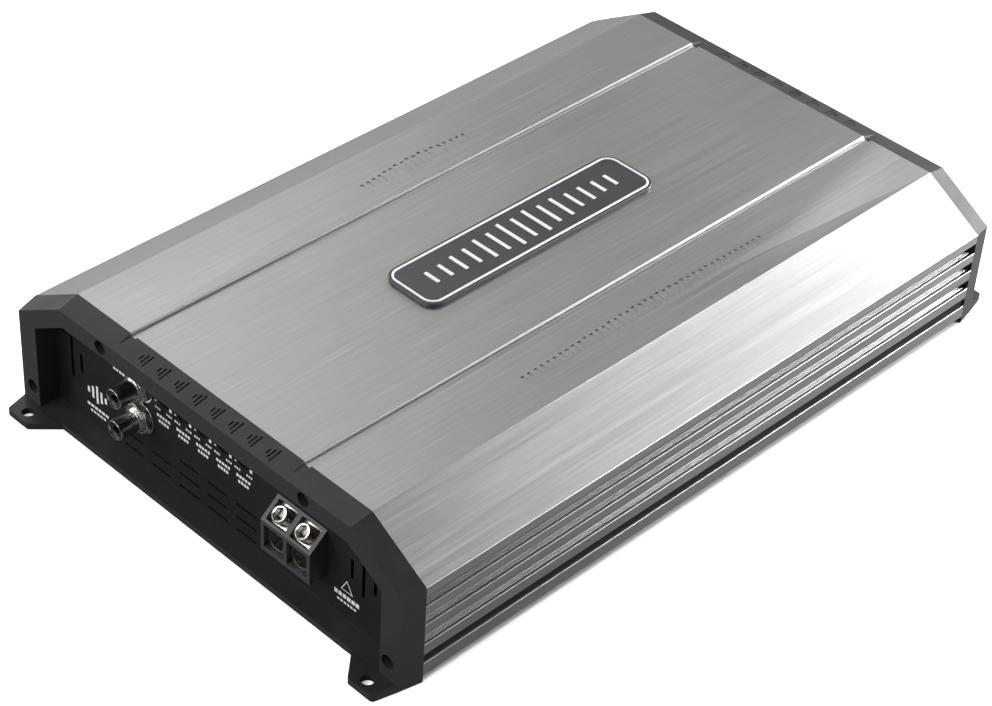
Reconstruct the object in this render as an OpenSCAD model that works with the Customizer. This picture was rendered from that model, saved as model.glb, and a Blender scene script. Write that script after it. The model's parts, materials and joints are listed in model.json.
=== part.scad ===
// Mono car power amplifier: extruded aluminium heatsink body between two drafted end caps,
// with a recessed control panel at the front end and a recessed power panel at the rear end.
// X is the width, Y the length with the control panel facing -Y, Z is up. The origin is the
// middle of the footprint on the mounting surface.

/* [Body] */
// Width over the side fins
body_w = 211; // [210:0.5:216]
// Length of the extruded heatsink between the end caps
body_len = 301.6; // [290:0.2:360]
// Height from the mounting surface to the flat top
body_h = 60; // [60:1:64]
// Width of each sloping shoulder, measured flat
shoulder_w = 26.85; // [24:0.5:30]
// Drop of each sloping shoulder
shoulder_drop = 16; // [14:0.5:17]
// Depth of the side gaps between the fins
gap_depth = 7.2; // [4:0.2:7.4]
// Distance of the two polished top grooves from the middle
groove_x = 46.5; // [40:0.5:50]
// Width of each top groove
groove_w = 4.1; // [3:0.1:5]
// Depth of each top groove
groove_depth = 1.3; // [0.8:0.1:1.6]

/* [End caps] */
// Depth of each end cap, not counting the mounting tabs
cap_depth = 9.4; // [8:0.2:12]
// Inward draft of a cap at its outer face
cap_draft = 2.05; // [1:0.05:2.5]
// Reach of the mounting tabs beyond the cap
tab_reach = 10; // [9:0.5:14]
// Thickness of the mounting tabs and of the cap floor
tab_t = 2.8; // [2.4:0.1:3]
// Diameter of the mounting holes
tab_hole_d = 5; // [4:0.1:5.4]
// Half width of the recess opening
recess_half_w = 93.8; // [92:0.2:94]

/* [Controls] */
// Spacing of the level controls
dial_pitch = 11; // [10.8:0.1:11]
// Diameter of the access hole in front of each control
dial_hole_d = 8.2; // [7.4:0.1:8.4]
// Diameter of each dial
dial_d = 6; // [5:0.1:6.4]

/* [Jacks] */
// Barrel diameter of a signal jack
jack_d = 8.3; // [8.2:0.1:8.4]
// Length of a signal jack in front of the panel
jack_len = 12.8; // [12:0.2:14]
// Vertical spacing of the two signal jacks
jack_pitch = 14.6; // [14.2:0.1:14.8]

/* [Terminals] */
// Wire bore of each screw terminal
wire_bore_d = 8; // [7:0.1:8.2]
// Outer diameter of the clamping screws
clamp_screw_d = 6.8; // [6:0.1:6.9]
// Spacing of neighbouring terminals
terminal_pitch = 12; // [12:0.1:12.4]
// How far each screw stands out of its well when the terminal is open
screw_stand = 2.2; // [1:0.1:2.6]

/* [Nameplate] */
// Width of the nameplate
plate_w = 27.2; // [24:0.2:30]
// Length of the nameplate
plate_len = 122.5; // [100:0.5:130]
// Height of the nameplate above the flat top
plate_t = 1.6; // [1.2:0.1:2]

/* [Hidden] */
$fn = 64;
eps = 0.01;

// ---- body section ----
half_w = body_w / 2;
half_len = body_len / 2;
top_half_w = half_w - shoulder_w;
shoulder_z = body_h - shoulder_drop;
gap_x = half_w - gap_depth;
body_z = 3.2;
rail_top_z = 8.8;
groove_facet = 1.1;
side_gaps = [[39.8, 35.2], [30.9, 26.7], [21.9, 17.6]];
screw_gap = [12.8, rail_top_z];
strip_t = 3.2;
strip_set_back = 0.8;
serration_count = 8;
serration_depth = 0.35;
serration_start = 0.7;
serration_end = 0.9;
cavity_half_w = 95.8;
cavity_top_z = 52.2;
cavity_top_half_w = 77.5;
cavity_shoulder_z = 41;
rail_lip_x = half_w - 2.6;
plate_gap = 0.05;
bottom_screw_x = 99.3;
bottom_screw_rows = [-135, -45, 45, 135];
bottom_thread_len = 6;
cap_thread_len = 16;
clamp_thread_len = 6;
hole_clearance = 0.3;
cross_w = 0.8;

// ---- plain bars sunk in the top strips: x, first y, spacing, count, height ----
left_strip_bars = [-60.5, -27, 3.2, 18, 8.5];
right_strip_bars = [63, -64, 3.3, 40, 6.8];
sunk_bar_w = 1.4;
sunk_depth = 0.4;

// ---- sheet parts ----
bottom_t = 1.5;
bottom_top_z = body_z + bottom_t;
panel_t = 1.5;
panel_side_gap = 0.3;
panel_foot_z = 1;

// ---- cap fixing screws: x and z on each side ----
cap_screw_places = [[54.5, 54.4], [97.7, 10.2]];
cap_screw_head_d = 5.3;
cap_screw_head_t = 1.9;
cap_screw_d = 2.9;
cap_screw_len = 12;
cap_head_hole_d = 5.8;
cap_web_t = 5.4;
cap_screw_hole_d = 3.4;
heatsink_thread_d = 2.9;
port_r = 2.4;

// ---- plain bars sunk in the top edge of a cap, in groups of three ----
cap_bar_groups = 8;
cap_group_pitch = 9.7;
cap_bar_x0 = -36.4;
cap_bar_pitch = 1.7;
cap_bar_w = 0.8;
cap_bar_len = 6;
cap_bar_step = 1.8;
cap_bar_y0 = -8;
cap_bar_depth = 0.45;

// ---- recess opening of a cap ----
recess_floor_z = 2.6;
recess_shoulder_z = 40;
recess_top_z = 50.5;
recess_top_half_w = 76.5;
wall_draft_x = half_w - cap_draft;

// ---- mounting tabs, from the seam between heatsink and cap ----
tab_inner_x = 80;
tab_corner_x = 88;
tab_corner_r = 1.6;
tab_hole_x = 94.1;
tab_hole_y = cap_depth + 5.5;

// ---- controls, jacks and terminals on the front panel ----
dial_count = 5;
dial_z = 40;
dial_x0 = -31.2;
dial_len = 6;
dial_front_y = 2.2;
dial_slot_w = 1;
dial_slot_depth = 1.2;
pot_w = 9.6;
pot_h = 11;
pot_y = 3;
pot_t = 6;
jack_x = -43.5;
jack_z = 24.4;
thread_d = 9.8;
thread_len = 4.6;
nut_t = 2.3;
nut_af = 12;
washer_d = 14;
washer_t = 0.7;
jack_back = 9;
insulator_d = 7.1;
insulator_set_back = 0.6;
contact_d = 3.2;
contact_wall = 0.35;
contact_pin_d = 1.4;
contact_pin_len = 3;
jack_housing_w = 14.4;
jack_housing_depth = 12;
jack_housing_h = 38;
terminal_x = 44;
terminal_z = 15.8;
terminal_front_h = 13.8;
terminal_rise = 6.9;
terminal_reach = 8.1;
terminal_back = 12;
terminal_wall = 1.75;
window_w = 10.2;
window_h = 10.3;
window_z = terminal_z + 1.8;
well_w = 9.8;
well_len = 8.3;
clamp_front = 1.7;
clamp_r = 4.9;
bore_z = terminal_z + 7;
bore_len = 13;
bevel_angle = atan(terminal_rise / terminal_reach);
clamp_back = 9;
clamp_neck = [9.4, 7.8, 7];
clamp_neck_below = 2.4;
clamp_hole_len = 12.5;
tag_w = 5;
tag_t = 1.2;
tag_y = 4;
pad_t = 1;
pad_d = 6.4;
pad_pin_d = 2.4;
pad_pin_len = 1.4;
pad_rest = 4.4;
screw_fit = 0.05;
socket_af = 4;
socket_depth = 3.2;
power_terminal_x = -38;
power_cells = 3;
speaker_cells = 2;

// ---- remote level socket and lights on the rear panel ----
socket_x = 6;
socket_w = 13;
socket_h = 12;
socket_len = 16;
plug_hole = [9.8, 13, 6.6];
latch_hole = [4, 9, 3];
socket_lip = 1;
light_len = 7;
light_places = [22, 32];
light_z = 30;
light_d = 3;

// ---- vent slots on both panels ----
vent_x0 = -49;
vent_pitch = 15.8;
vent_rows = [4.6, 10.6, 16.6];
vent_len = 11;
vent_h = 1.2;
rear_vent_shift = 8;
tall_vent = [17.8, 37.4];
short_vent = [22.7, 31.9];
left_vents = [[-84.5, tall_vent], [-79, short_vent]];
right_vents = [[69.5, short_vent], [75.3, tall_vent], [81.1, short_vent]];
side_vent_w = 1.5;
cutout_gap = 0.15;

// ---- nameplate details ----
plate_corner_r = 6.5;
rim_inset = 1.1;
rim_w = 0.9;
rim_rise = 0.25;
plate_bar_count = 15;
plate_bar_w = 1.5;
plate_bar_ends = 26;
plate_bar_sides = 11;
inlay_depth = 0.3;

// ---- main board and what stands on it ----
board_z = 10.4;
board_t = 1.6;
board_top = board_z + board_t;
board_half_w = 95;
board_len = 288;
standoff_places = [for (x = [-80, 80], y = [-132, -44, 44, 132]) [x, y]];
standoff_d = 6;
small_screw_d = 3;
small_head_d = 5.4;
small_head_t = 1.8;
control_board_y = 9.6;
control_board_x = [-36, 21];
control_board_z = board_top + 2;
control_board_t = 1.2;
control_board_h = 33;
header_pins = 16;
header_x0 = -27;
header_pitch = 2.54;
header_pin_w = 0.6;
header_pin_len = 6;
board_screw_len = 5;
transistor_rows = [for (i = [0:9]) -99 + 22 * i];
transistor_w = 10;
transistor_h = 15.4;
transistor_t = 4.5;
transistor_z = 17;
leg_pitch = 2.54;
leg_w = 0.9;
leg_x = -3.8;
pad_sheet_t = 0.3;
clamp_bar_z = 20.3;
clamp_bar_h = 8;
clamp_bar_t = 5;
clamp_bar_len = 222;
clamp_screw_rows = [for (i = [0:4]) -88 + 44 * i];
clamp_bar_screw_len = 15;
transformer_places = [[-42, -62], [-42, 0], [-42, 62]];
transformer_ring = [46, 26, 20];
choke_places = [[44, -78], [44, -34]];
choke_ring = [32, 18, 16];
winding_t = 2;
capacitor_places = [for (x = [0, 26, 52], y = [20, 48, 76, 104]) [x + 8, y]];
capacitor_d = 22;
capacitor_h = 36;

function mirrored(points) = [for (i = [len(points) - 1:-1:0]) [-points[i][0], points[i][1]]];

// Rows of fine teeth along the upper face of a fin whose top is at z
function serrations(z) =
    let (start = gap_x + serration_start,
         step = (half_w - serration_end - start) / serration_count)
    [for (i = [0:serration_count - 1], part = [0, 1])
        part == 0 ? [start + i * step, z] : [start + (i + 0.5) * step, z - serration_depth]];

// Right half of the heatsink outline, from the top middle down to the rail
function outer_side() = concat(
    [[groove_x - groove_w / 2, body_h],
     [groove_x - groove_w / 2 + groove_facet, body_h - groove_depth],
     [groove_x + groove_w / 2 - groove_facet, body_h - groove_depth],
     [groove_x + groove_w / 2, body_h],
     [top_half_w, body_h],
     [half_w, shoulder_z]],
    [for (gap = side_gaps) each concat(
        [[half_w, gap[0]], [gap_x, gap[0]], [gap_x, gap[1]]],
        serrations(gap[1]),
        [[half_w - serration_end, gap[1]], [half_w, gap[1]]])],
    [[half_w, screw_gap[0]], [gap_x, screw_gap[0]], [gap_x, screw_gap[1]], [half_w, screw_gap[1]],
     [half_w, body_z], [rail_lip_x, body_z], [rail_lip_x, bottom_top_z + plate_gap]]);

function inner_side() = [
    [cavity_half_w, bottom_top_z + plate_gap],
    [cavity_half_w, cavity_shoulder_z],
    [cavity_top_half_w, cavity_top_z]];

// Outline of an end cap, drawn in by inset on every side but the bottom
function cap_side(inset) =
    let (slope = atan(shoulder_drop / shoulder_w))
    [[half_w - inset, 0],
     [half_w - inset, shoulder_z - inset * tan((90 - slope) / 2)],
     [top_half_w - inset * tan(slope / 2), body_h - inset]];

function cap_outline(inset) = concat(cap_side(inset), mirrored(cap_side(inset)));

// Level of a bar in a row of plain bars, from 0 to 1
function bar_level(i, n) = 0.45 + 0.55 * pow(sin(180 * (i + 0.5) / n), 2) * (i % 2 == 0 ? 1 : 0.72);

// Places things on the rear end: the same layout, turned half a turn
module at_rear() {
    rotate([0, 0, 180]) at_front() children();
}

// Places things whose y is counted inwards from the front seam
module at_front() {
    translate([0, -half_len, 0]) children();
}

module both_sides() {
    children();
    mirror([1, 0, 0]) children();
}

// A solid drawn in X and Z and running along Y from y0 to y1
module along_y(y0, y1) {
    translate([0, y1, 0]) rotate([90, 0, 0]) linear_extrude(y1 - y0) children();
}

// A round bar along Y, centred at x and z
module bar_y(x, z, y0, y1, d) {
    translate([x, y1, z]) rotate([90, 0, 0]) cylinder(h = y1 - y0, d = d);
}

// ---- body ----
module heatsink_outline() {
    polygon(concat(outer_side(), inner_side(), mirrored(inner_side()), mirrored(outer_side())));
}

// Plain bars sunk in the flat top, running along one side strip
module sunk_bars(row) {
    count = row[3];
    for (i = [0:count - 1]) {
        level = row[4] * bar_level(i, count);
        translate([row[0] - level / 2, row[1] + i * row[2], body_h - sunk_depth])
            cube([level, sunk_bar_w, 1]);
    }
}

module heatsink() {
    color("darkgray") difference() {
        union() {
            along_y(-half_len, half_len) heatsink_outline();
            both_sides() bar_y(cap_screw_places[1][0], cap_screw_places[1][1],
                               -half_len, half_len, 2 * port_r);
        }
        along_y(-half_len - 1, half_len + 1) polygon(concat(inner_side(), mirrored(inner_side())));
        for (side = [0, 180], place = cap_screw_places) rotate([0, 0, side]) both_sides()
            bar_y(place[0], place[1], -half_len - 1, -half_len + cap_thread_len,
                  heatsink_thread_d);
        for (y = clamp_screw_rows) both_sides()
            translate([cavity_half_w - 1, y, clamp_bar_z + clamp_bar_h / 2])
                rotate([0, 90, 0]) cylinder(h = clamp_thread_len + 1, d = small_screw_d);
        for (y = bottom_screw_rows) both_sides()
            translate([bottom_screw_x, y, body_z]) cylinder(h = bottom_thread_len, d = small_screw_d);
        sunk_bars(left_strip_bars);
        sunk_bars(right_strip_bars);
    }
}

// Rubber strip pressed into the lowest side gap, over the tips of the bottom plate screws
module channel_strips() {
    color([0.08, 0.08, 0.08]) both_sides() along_y(-half_len, half_len)
        translate([half_w - strip_set_back - strip_t, screw_gap[1]])
            square([strip_t, screw_gap[0] - screw_gap[1]]);
}

module bottom_plate() {
    plate_half_w = rail_lip_x - 0.2;
    plate_half_len = half_len - panel_t - plate_gap;
    color("dimgray") difference() {
        translate([-plate_half_w, -plate_half_len, body_z])
            cube([2 * plate_half_w, 2 * plate_half_len, bottom_t]);
        for (y = bottom_screw_rows) both_sides()
            translate([bottom_screw_x, y, body_z - 1]) cylinder(h = 4, d = small_screw_d + hole_clearance);
    }
}

// A pan head screw with a cross recess, pointing down from z = 0
module pan_screw(d, head_d, head_t, length) {
    recess = head_d * 0.55;
    difference() {
        union() {
            cylinder(h = head_t, d = head_d);
            translate([0, 0, -length]) cylinder(h = length + eps, d = d);
        }
        for (turn = [0, 90]) rotate([0, 0, turn])
            translate([-recess / 2, -cross_w / 2, head_t * 0.45]) cube([recess, cross_w, head_t]);
    }
}

module bottom_plate_screws() {
    color("black") for (y = bottom_screw_rows) both_sides()
        translate([bottom_screw_x, y, body_z]) rotate([180, 0, 0])
            pan_screw(small_screw_d, small_head_d, small_head_t, board_screw_len);
}

// ---- end caps ----
// Solid with flat drafted sides, from the seam at y = 0 out to the face at y = -cap_depth
module drafted_block() {
    seam = cap_outline(0);
    face = cap_outline(cap_draft);
    n = len(seam);
    polyhedron(
        points = concat([for (p = seam) [p[0], 0, p[1]]], [for (p = face) [p[0], -cap_depth, p[1]]]),
        faces = concat(
            [[for (i = [0:n - 1]) i]],
            [[for (i = [n - 1:-1:0]) n + i]],
            [for (i = [0:n - 1]) [i, n + i, n + (i + 1) % n, (i + 1) % n]]));
}

module recess_outline() {
    polygon([[-recess_half_w, recess_floor_z], [recess_half_w, recess_floor_z],
             [recess_half_w, recess_shoulder_z], [recess_top_half_w, recess_top_z],
             [-recess_top_half_w, recess_top_z], [-recess_half_w, recess_shoulder_z]]);
}

module tab_outline() {
    tip_y = -cap_depth - tab_reach;
    tip_x = half_w - cap_draft * (cap_depth + tab_reach) / cap_depth;
    hull() {
        translate([tip_x - tab_corner_r, tip_y + tab_corner_r]) circle(r = tab_corner_r, $fn = 32);
        translate([tab_corner_x + tab_corner_r, tip_y + tab_corner_r])
            circle(r = tab_corner_r, $fn = 32);
        polygon([[tab_inner_x, -cap_depth], [wall_draft_x, -cap_depth],
                 [wall_draft_x, -cap_depth + 1], [tab_inner_x, -cap_depth + 1]]);
    }
}

// Plain bars sunk in the sloping top edge of a cap, rising in groups of three
module cap_bars() {
    rotate([atan(cap_draft / cap_depth), 0, 0])
        for (group = [0:cap_bar_groups - 1], i = [0:2]) {
            short_by = cap_bar_step * (2 - i);
            translate([cap_bar_x0 + cap_group_pitch * group + cap_bar_pitch * i,
                       cap_bar_y0 + short_by / 2, -cap_bar_depth])
                cube([cap_bar_w, cap_bar_len - short_by, 2]);
        }
}

module end_cap() {
    difference() {
        union() {
            drafted_block();
            both_sides() linear_extrude(tab_t) tab_outline();
        }
        along_y(-cap_depth - 1, 1) recess_outline();
        both_sides() along_y(-cap_depth - 1, 1)
            translate([groove_x, body_h]) polygon([
                [-groove_w / 2, 0], [-groove_w / 2 + groove_facet, -groove_depth],
                [groove_w / 2 - groove_facet, -groove_depth], [groove_w / 2, 0], [groove_w / 2, 1],
                [-groove_w / 2, 1]]);
        for (place = cap_screw_places) both_sides() {
            bar_y(place[0], place[1], -cap_depth - 1, 1, cap_screw_hole_d);
            bar_y(place[0], place[1], -cap_depth - 1, -cap_web_t, cap_head_hole_d);
        }
        both_sides() translate([tab_hole_x, -tab_hole_y, -1]) cylinder(h = tab_t + 2, d = tab_hole_d);
        translate([0, 0, body_h]) cap_bars();
    }
}

module front_end_cap() {
    color([0.25, 0.25, 0.26]) at_front() end_cap();
}

module rear_end_cap() {
    color([0.25, 0.25, 0.26]) at_rear() end_cap();
}

module cap_screws() {
    for (place = cap_screw_places) both_sides()
        translate([place[0], -cap_web_t, place[1]]) rotate([90, 0, 0])
            pan_screw(cap_screw_d, cap_screw_head_d, cap_screw_head_t, cap_screw_len);
}

module front_cap_screws() {
    color("black") at_front() cap_screws();
}

module rear_cap_screws() {
    color("black") at_rear() cap_screws();
}

// ---- panels ----
module panel_outline() {
    side_x = cavity_half_w - panel_side_gap;
    top_z = cavity_top_z - panel_side_gap;
    polygon([[-side_x, panel_foot_z], [side_x, panel_foot_z],
             [side_x, cavity_shoulder_z - panel_side_gap],
             [cavity_top_half_w, top_z], [-cavity_top_half_w, top_z],
             [-side_x, cavity_shoulder_z - panel_side_gap]]);
}

// Upright slots with round ends, each given as its x and its span in z
module upright_slots(vents) {
    r = side_vent_w / 2;
    for (vent = vents) {
        x = vent[0];
        low = vent[1][0] + r;
        high = vent[1][1] - r;
        translate([x - r, low]) square([side_vent_w, high - low]);
        for (z = [low, high]) translate([x, z]) circle(r = r, $fn = 24);
    }
}

module level_slot(x, z) {
    r = vent_h / 2;
    translate([x - vent_len / 2 + r, z - r]) square([vent_len - vent_h, vent_h]);
    for (end = [-1, 1]) translate([x + end * (vent_len / 2 - r), z]) circle(r = r, $fn = 24);
}

module vent_slots() {
    for (column = [0:4], row = [0:2])
        if (row < 2 || column > 1)
            level_slot(vent_x0 + vent_pitch * column, vent_rows[row]);
}

module terminal_cutout(x, cells) {
    w = terminal_w(cells) + 2 * cutout_gap;
    translate([x - w / 2, terminal_z - cutout_gap])
        square([w, terminal_front_h + terminal_rise + 2 * cutout_gap]);
}

module front_panel() {
    color([0.13, 0.13, 0.14]) at_front() along_y(0, panel_t) difference() {
        panel_outline();
        for (i = [0:dial_count - 1])
            translate([dial_x0 + dial_pitch * i, dial_z]) circle(d = dial_hole_d);
        for (z = [jack_z, jack_z + jack_pitch]) translate([jack_x, z]) circle(d = thread_d + 0.2);
        terminal_cutout(terminal_x, speaker_cells);
        vent_slots();
        upright_slots(left_vents);
        upright_slots(right_vents);
    }
}

module rear_panel() {
    color([0.13, 0.13, 0.14]) at_rear() along_y(0, panel_t) difference() {
        panel_outline();
        terminal_cutout(power_terminal_x, power_cells);
        translate([socket_x - socket_w / 2 - cutout_gap, board_top - cutout_gap])
            square([socket_w + 2 * cutout_gap, socket_h + 2 * cutout_gap]);
        for (x = light_places) translate([x, light_z]) circle(d = light_d + 0.1);
        for (column = [3:5], z = vent_rows)
            level_slot(vent_x0 + vent_pitch * column + rear_vent_shift, z);
        both_sides() upright_slots(right_vents);
    }
}

// ---- nameplate ----
// Rectangle with round corners, made of squares and circles so that its arcs stay true
module round_rect(w, l, r) {
    square([w - 2 * r, l], center = true);
    square([w, l - 2 * r], center = true);
    for (x = [-1, 1], y = [-1, 1]) translate([x * (w / 2 - r), y * (l / 2 - r)]) circle(r = r);
}

module nameplate() {
    color([0.27, 0.27, 0.29]) translate([0, 0, body_h]) difference() {
        linear_extrude(plate_t) round_rect(plate_w, plate_len, plate_corner_r);
        translate([0, 0, plate_t - inlay_depth]) linear_extrude(1) rim_outline();
        translate([0, 0, plate_t - inlay_depth]) plate_bars(1);
    }
}

module rim_outline() {
    difference() {
        round_rect(plate_w - 2 * rim_inset, plate_len - 2 * rim_inset, plate_corner_r - rim_inset);
        round_rect(plate_w - 2 * (rim_inset + rim_w), plate_len - 2 * (rim_inset + rim_w),
                   plate_corner_r - rim_inset - rim_w);
    }
}

module nameplate_rim() {
    color("silver") translate([0, 0, body_h + plate_t - inlay_depth])
        linear_extrude(inlay_depth + rim_rise) rim_outline();
}

module plate_bars(height) {
    pitch = (plate_len - plate_bar_ends) / (plate_bar_count - 1);
    for (i = [0:plate_bar_count - 1]) {
        level = (plate_w - plate_bar_sides) * bar_level(i, plate_bar_count);
        translate([-level / 2, (i - (plate_bar_count - 1) / 2) * pitch - plate_bar_w / 2, 0])
            cube([level, plate_bar_w, height]);
    }
}

module nameplate_bars() {
    color("white") translate([0, 0, body_h + plate_t - inlay_depth]) plate_bars(inlay_depth + rim_rise);
}

// ---- boards ----
module circuit_board() {
    color("darkgreen") difference() {
        translate([-board_half_w, -board_len / 2, board_z])
            cube([2 * board_half_w, board_len, board_t]);
        for (place = standoff_places)
            translate([place[0], place[1], board_z - 1]) cylinder(h = 4, d = small_screw_d + hole_clearance);
    }
}

module board_standoffs() {
    color("silver") for (place = standoff_places)
        translate([place[0], place[1], bottom_top_z]) difference() {
            cylinder(h = board_z - bottom_top_z, d = standoff_d, $fn = 6);
            translate([0, 0, 1]) cylinder(h = 8, d = small_screw_d);
        }
}

module board_screws() {
    color("silver") for (place = standoff_places)
        translate([place[0], place[1], board_top])
            pan_screw(small_screw_d - 0.1, small_head_d, small_head_t, board_screw_len);
}

module control_board() {
    x0 = control_board_x[0];
    color("darkgreen") at_front()
        translate([x0, control_board_y, control_board_z])
            cube([control_board_x[1] - x0, control_board_t, control_board_h]);
}

module control_board_header() {
    color("gold") at_front() for (i = [0:header_pins - 1])
        translate([header_x0 + header_pitch * i, control_board_y + control_board_t, board_top])
            cube([header_pin_w, header_pin_w, header_pin_len]);
}

module potentiometer_bodies() {
    color("dimgray") at_front() for (i = [0:dial_count - 1])
        translate([dial_x0 + dial_pitch * i, 0, 0]) difference() {
            translate([-pot_w / 2, pot_y, dial_z - pot_h / 2]) cube([pot_w, pot_t, pot_h]);
            bar_y(0, dial_z, dial_front_y - 1, dial_front_y + dial_len + 0.3, dial_d + 0.1);
        }
}

// Slotted dial number i, turned with a small screwdriver
module dial(i) {
    color("gainsboro") at_front() translate([dial_x0 + dial_pitch * i, 0, 0]) difference() {
        bar_y(0, dial_z, dial_front_y, dial_front_y + dial_len, dial_d);
        translate([-dial_slot_w / 2, dial_front_y - 1, dial_z - dial_d])
            cube([dial_slot_w, 1 + dial_slot_depth, 2 * dial_d]);
    }
}

// ---- signal jacks ----
module at_jacks() {
    at_front() for (z = [jack_z, jack_z + jack_pitch]) translate([jack_x, 0, z]) children();
}

module rca_housing() {
    color([0.1, 0.1, 0.1]) at_front() difference() {
        translate([jack_x - jack_housing_w / 2, panel_t + plate_gap, board_top])
            cube([jack_housing_w, jack_housing_depth, jack_housing_h]);
        for (z = [jack_z, jack_z + jack_pitch]) {
            bar_y(jack_x, z, 0, jack_back, thread_d);
            bar_y(jack_x, z, 0, jack_housing_depth + 2, contact_pin_d + 0.2);
        }
    }
}

module rca_shells() {
    color("silver") at_jacks() difference() {
        union() {
            bar_y(0, 0, -jack_len, 0, jack_d);
            bar_y(0, 0, -thread_len, jack_back, thread_d);
        }
        bar_y(0, 0, -jack_len - 1, jack_back + 1, insulator_d);
    }
}

module rca_insulators() {
    color([0.2, 0.2, 0.2]) at_jacks() difference() {
        bar_y(0, 0, -jack_len + insulator_set_back, jack_back, insulator_d);
        bar_y(0, 0, -jack_len, jack_back - 1, contact_d + 2 * contact_wall);
    }
}

module rca_contacts() {
    color("gold") at_jacks() {
        difference() {
            bar_y(0, 0, -jack_len + 2 * insulator_set_back, jack_back - 1,
                  contact_d + 2 * contact_wall);
            bar_y(0, 0, -jack_len, jack_back - 3, contact_d);
        }
        bar_y(0, 0, jack_back, jack_back + contact_pin_len, contact_pin_d);
    }
}

module rca_nuts() {
    color("silver") at_jacks() difference() {
        translate([0, -washer_t, 0]) rotate([90, 0, 0])
            cylinder(h = nut_t, d = nut_af / cos(30), $fn = 6);
        bar_y(0, 0, -10, 1, thread_d);
    }
}

module rca_washers() {
    color("silver") at_jacks() difference() {
        bar_y(0, 0, -washer_t, 0, washer_d);
        bar_y(0, 0, -10, 1, thread_d);
    }
}

// ---- screw terminals ----
function terminal_w(cells) = terminal_pitch * (cells - 1) + window_w - 0.2 + 2 * terminal_wall;
function cell_x(x, cells, i) = x + terminal_pitch * (i - (cells - 1) / 2);

// Frame of a clamping screw: origin where its axis meets the bevel, z pointing inwards
module at_screw_axis(x) {
    translate([x, -terminal_reach / 2, terminal_z + terminal_front_h + terminal_rise / 2])
        rotate([180 + bevel_angle, 0, 0]) children();
}

module terminal_profile() {
    top_z = terminal_z + terminal_front_h + terminal_rise;
    back_y = panel_t + plate_gap;
    polygon([[-terminal_reach, terminal_z], [-terminal_reach, terminal_z + terminal_front_h],
             [0, top_z], [terminal_back, top_z], [terminal_back, board_top],
             [back_y, board_top], [back_y, terminal_z]]);
}

module terminal_block(x, cells) {
    w = terminal_w(cells);
    difference() {
        translate([x - w / 2, 0, 0]) rotate([90, 0, 90]) linear_extrude(w) terminal_profile();
        for (i = [0:cells - 1]) {
            cx = cell_x(x, cells, i);
            translate([cx - window_w / 2, -terminal_reach - 1, window_z])
                cube([window_w, terminal_reach + 1 + 10, window_h]);
            at_screw_axis(cx) translate([-well_w / 2, -well_len / 2, -2]) cube([well_w, well_len, 12]);
            clamp_tag(cx, 0.1);
        }
    }
}

// Plated brass body with the wire bore and the threaded screw hole
module terminal_clamp(x) {
    difference() {
        union() {
            bar_y(x, bore_z, -terminal_reach + clamp_front, clamp_back, 2 * clamp_r);
            at_screw_axis(x)
                translate([-clamp_neck[0] / 2, -clamp_neck[1] / 2, clamp_neck_below]) cube(clamp_neck);
            clamp_tag(x, 0);
        }
        bar_y(x, bore_z, -terminal_reach, -terminal_reach + clamp_front + bore_len, wire_bore_d);
        at_screw_axis(x) cylinder(h = clamp_hole_len, d = clamp_screw_d + 2 * screw_fit);
    }
}

// Solder tag of a clamp, with clearance all round when it is used as a cut
module clamp_tag(x, clearance) {
    translate([x - tag_w / 2 - clearance, tag_y - clearance, board_top - clearance])
        cube([tag_w + 2 * clearance, tag_t + 2 * clearance, bore_z - clamp_r - board_top + 0.6]);
}

module clamp_screw(x) {
    at_screw_axis(x) difference() {
        translate([0, 0, -screw_stand]) cylinder(h = pad_rest + screw_stand, d = clamp_screw_d);
        translate([0, 0, -screw_stand - 1])
            cylinder(h = socket_depth + 1, d = socket_af / cos(30), $fn = 6);
        translate([0, 0, pad_rest - pad_pin_len - 0.1])
            cylinder(h = pad_pin_len + 1, d = pad_pin_d + 0.1);
    }
}

// Swivel pad that the screw pushes onto the wire without turning on it
module clamp_pad(x) {
    at_screw_axis(x) {
        translate([0, 0, pad_rest + 0.05]) cylinder(h = pad_t, d = pad_d);
        translate([0, 0, pad_rest - pad_pin_len]) cylinder(h = pad_pin_len + 0.1, d = pad_pin_d);
    }
}

module speaker_terminal_block() {
    color([0.3, 0.3, 0.31]) at_front() terminal_block(terminal_x, speaker_cells);
}

module power_terminal_block() {
    color([0.3, 0.3, 0.31]) at_rear() terminal_block(power_terminal_x, power_cells);
}

module terminal_clamps(x, cells) {
    for (i = [0:cells - 1]) terminal_clamp(cell_x(x, cells, i));
}

module speaker_terminal_clamps() {
    color("silver") at_front() terminal_clamps(terminal_x, speaker_cells);
}

module power_terminal_clamps() {
    color("silver") at_rear() terminal_clamps(power_terminal_x, power_cells);
}

module speaker_screw(i) {
    color("silver") at_front() clamp_screw(cell_x(terminal_x, speaker_cells, i));
}

module speaker_pad(i) {
    color("goldenrod") at_front() clamp_pad(cell_x(terminal_x, speaker_cells, i));
}

module power_screw(i) {
    color("silver") at_rear() clamp_screw(cell_x(power_terminal_x, power_cells, i));
}

module power_pad(i) {
    color("goldenrod") at_rear() clamp_pad(cell_x(power_terminal_x, power_cells, i));
}

// ---- rear panel small parts ----
module remote_level_socket() {
    color([0.1, 0.1, 0.1]) at_rear() translate([socket_x, -socket_lip, board_top]) difference() {
        translate([-socket_w / 2, 0, 0]) cube([socket_w, socket_len + socket_lip, socket_h]);
        translate([-plug_hole[0] / 2, -1, 3]) cube([plug_hole[0], plug_hole[1] + 1, plug_hole[2]]);
        translate([-latch_hole[0] / 2, -1, 1.4])
            cube([latch_hole[0], latch_hole[1] + 1, latch_hole[2]]);
    }
}

module panel_light(i) {
    at_rear() {
        bar_y(light_places[i], light_z, -1, light_len, light_d);
        bar_y(light_places[i], light_z, panel_t + plate_gap, light_len, light_d + 1);
    }
}

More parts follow.
